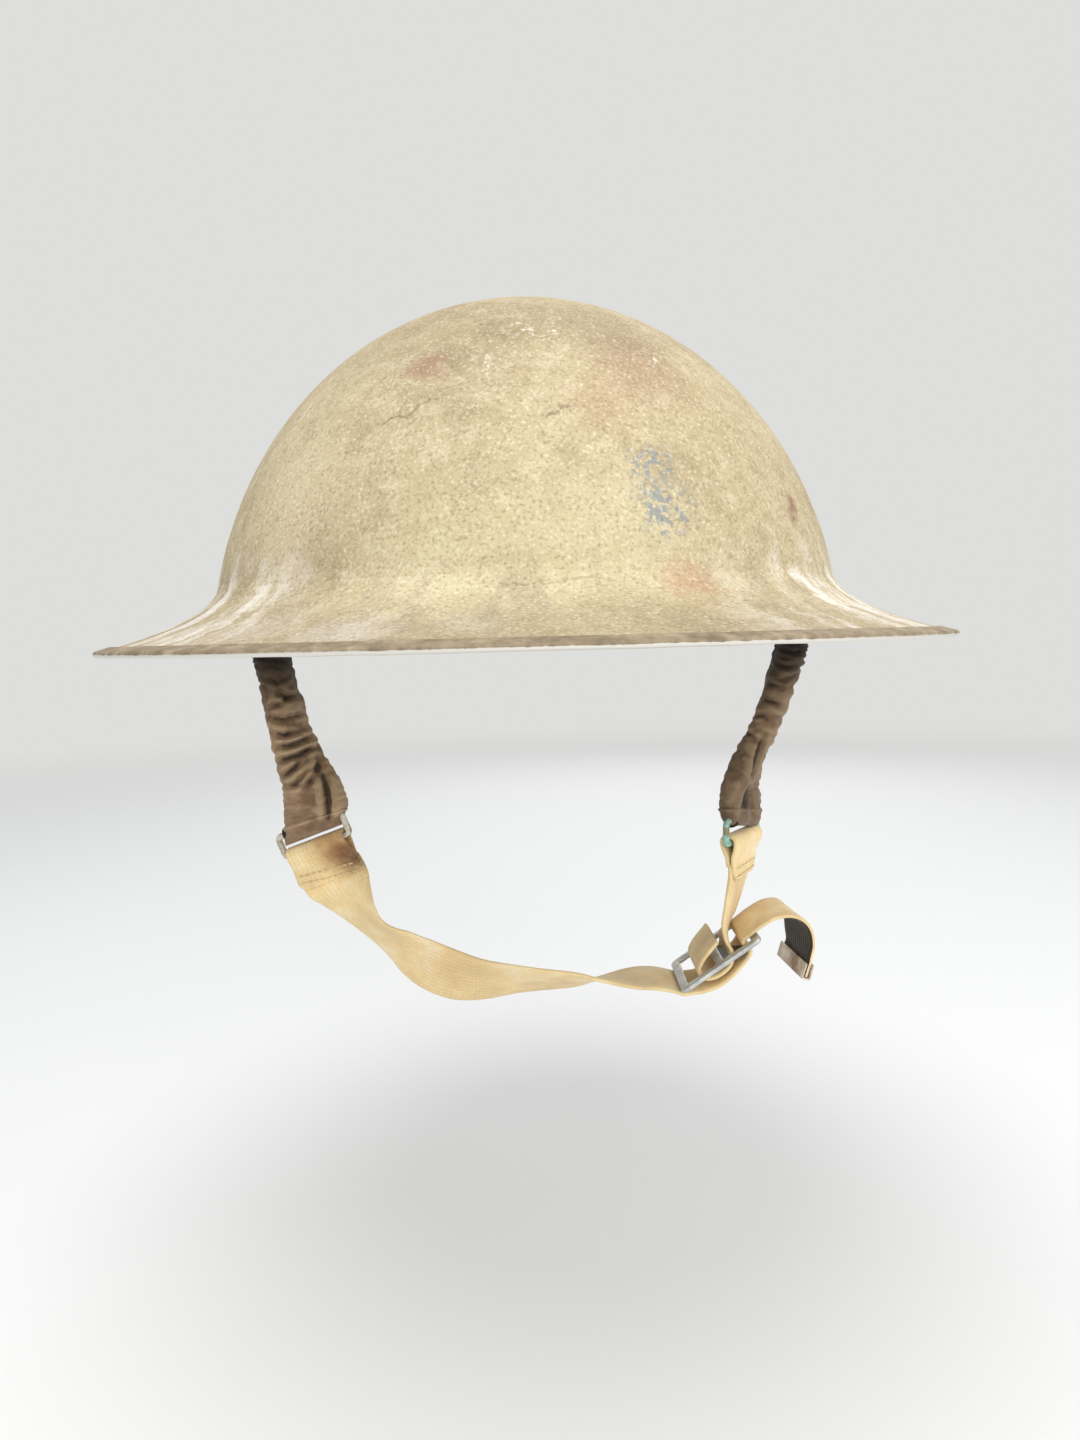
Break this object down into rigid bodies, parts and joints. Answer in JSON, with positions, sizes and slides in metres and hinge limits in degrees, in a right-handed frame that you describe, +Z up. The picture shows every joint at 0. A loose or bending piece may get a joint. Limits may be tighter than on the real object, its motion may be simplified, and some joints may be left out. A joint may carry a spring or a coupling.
{
  "type": "steel helmet",
  "caption": "Shallow-bowl steel helmet with a broad flared brim, an oilcloth and fibre liner on rubber buffers, and a sprung webbing chin strap with a slide buckle.",
  "frame": {"origin": "centre of the rim plane, in the middle of the opening for the head", "axes": "+Z up through the crown, -Y to the front, so -X is the left side seen from the front"},
  "size_m": [0.2924, 0.3114, 0.2575],
  "materials": {
    "sand_paint": "sand-textured matt paint, worn and speckled with rust",
    "worn_rim": "thin strip with most of its paint worn off",
    "dark_steel": "blackened steel",
    "zinc_steel": "dull zinc plate",
    "spring_steel": "plain drawn wire",
    "black_rubber": "matt black rubber",
    "grey_rubber": "matt dark grey rubber",
    "fibre": "smooth hard vulcanised fibre",
    "black_oilcloth": "black oilcloth with a faint sheen",
    "tan_cotton": "plain woven cotton tape",
    "brown_cloth": "dull brown woven cloth",
    "cream_web": "close-woven cotton webbing",
    "verdigris_brass": "tarnished brass wire with verdigris",
    "grey_metal": "dull grey pressed metal"
  },
  "bodies": {
    "helmet": {"shell": "sand_paint", "rim_strip": "worn_rim", "crown_screw": "dark_steel", "crown_washer": "dark_steel", "crown_spacer": "black_rubber", "crown_plate": "zinc_steel", "crown_nut": "zinc_steel", "headband_frame": "fibre", "sweatband": "black_oilcloth", "cross_strap_fore_aft": "tan_cotton", "cross_strap_sideways": "tan_cotton", "cross_strap_rivets": "zinc_steel", "crown_pad": "grey_rubber", "front_left_buffer": "black_rubber", "left_front_buffer": "black_rubber", "left_rear_buffer": "black_rubber", "rear_left_buffer": "black_rubber", "rear_right_buffer": "black_rubber", "right_rear_buffer": "black_rubber", "right_front_buffer": "black_rubber", "front_right_buffer": "black_rubber", "left_lug_bracket": "dark_steel", "right_lug_bracket": "dark_steel", "left_lug_rivet": "sand_paint", "right_lug_rivet": "sand_paint"},
    "left_bail": {"left_bail": "dark_steel", "left_upper_loop": "brown_cloth"},
    "right_bail": {"right_bail": "dark_steel", "right_upper_loop": "brown_cloth"},
    "strap_uppers": {"left_sleeve": "brown_cloth", "right_sleeve": "brown_cloth", "left_front_spring": "spring_steel", "left_rear_spring": "spring_steel", "right_front_spring": "spring_steel", "right_rear_spring": "spring_steel"},
    "chin_web": {"left_lower_loop": "brown_cloth", "right_lower_loop": "brown_cloth", "long_web": "cream_web", "short_web": "cream_web", "slide_buckle": "grey_metal", "tail_tip": "grey_metal"},
    "left_ring": {"left_ring": "verdigris_brass"},
    "right_ring": {"right_ring": "verdigris_brass"}
  },
  "joints": [
    {"name": "left_bail_swing", "type": "hinge", "parent": "helmet", "child": "left_bail", "pos_m": [-0.09899, 0, 0.02541], "axis": [0, 1, 0], "range_deg": [-7, 7]},
    {"name": "right_bail_swing", "type": "hinge", "parent": "helmet", "child": "right_bail", "pos_m": [0.09899, 0, 0.02541], "axis": [0, 1, 0], "range_deg": [-7, 7]},
    {"name": "strap_swing", "type": "hinge", "parent": "helmet", "child": "strap_uppers", "pos_m": [0, 0, 0.002], "axis": [1, 0, 0], "range_deg": [-75, 75]},
    {"name": "spring_stretch", "type": "slide", "parent": "strap_uppers", "child": "chin_web", "axis": [0, 0, -1], "range_m": [0, 0.03], "stiffness_N_per_m": 800, "springref_m": -0.002, "deforming": ["left_sleeve", "right_sleeve", "left_front_spring", "left_rear_spring", "right_front_spring", "right_rear_spring"]},
    {"name": "left_ring_rock", "type": "hinge", "parent": "chin_web", "child": "left_ring", "pos_m": [-0.08339, 0, -0.06578], "axis": [0.8976, -0.2693, 0.3491], "range_deg": [-8, 8]},
    {"name": "right_ring_rock", "type": "hinge", "parent": "chin_web", "child": "right_ring", "pos_m": [0.07799, -0.00006, -0.0662], "axis": [0.5524, 0.8336, 0], "range_deg": [-8, 8]}
  ]
}
